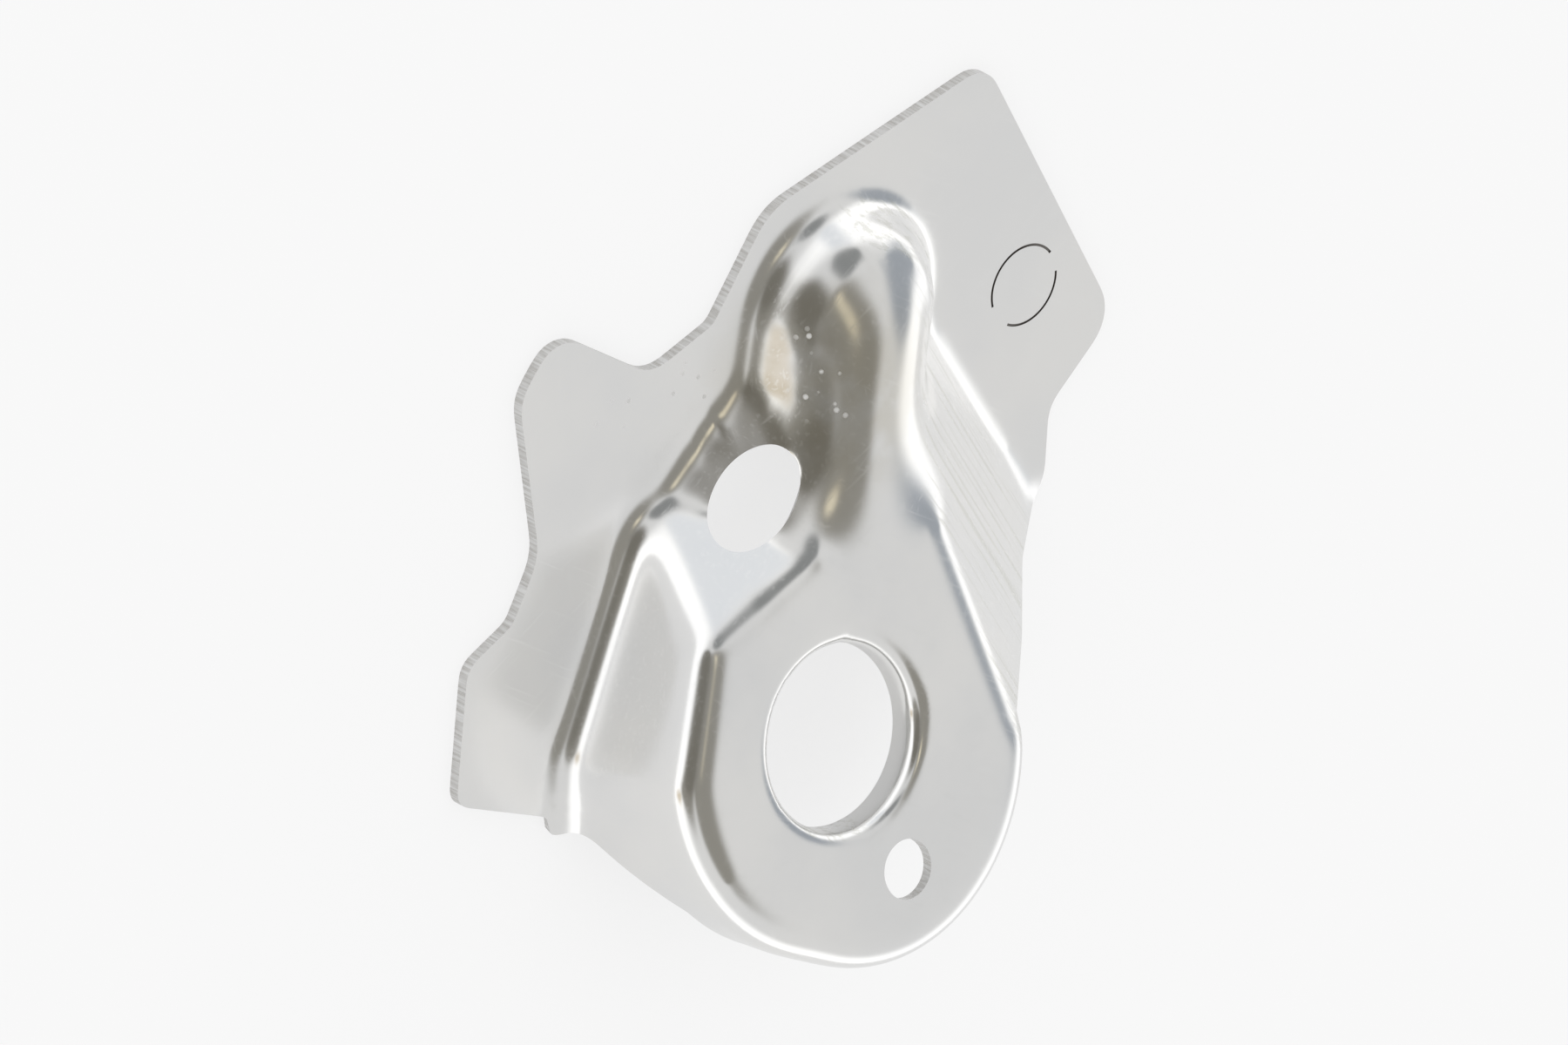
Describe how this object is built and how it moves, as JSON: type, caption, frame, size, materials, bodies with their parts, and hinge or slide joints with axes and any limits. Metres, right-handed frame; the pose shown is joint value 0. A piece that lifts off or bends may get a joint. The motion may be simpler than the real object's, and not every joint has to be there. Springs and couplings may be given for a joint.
{
  "type": "stamped metal bracket",
  "caption": "Stamped sheet bracket: flat lobed base, raised tipped round seat with a collared bore, a beaded neck with an oval hole, and a sloping flank.",
  "frame": {"origin": "middle of the large hole's straight wall, on the hole's axis", "axes": "+Z out of the flat base towards the raised seat; +Y from the large hole towards the bead's round nose; +X towards the corner of the base that carries the ring mark"},
  "size_m": [0.1051, 0.1117, 0.0289],
  "materials": {
    "sheet": "bright smooth plated sheet with faint draw marks at the bends"
  },
  "bodies": {
    "root": {"bracket": "sheet"}
  },
  "joints": []
}
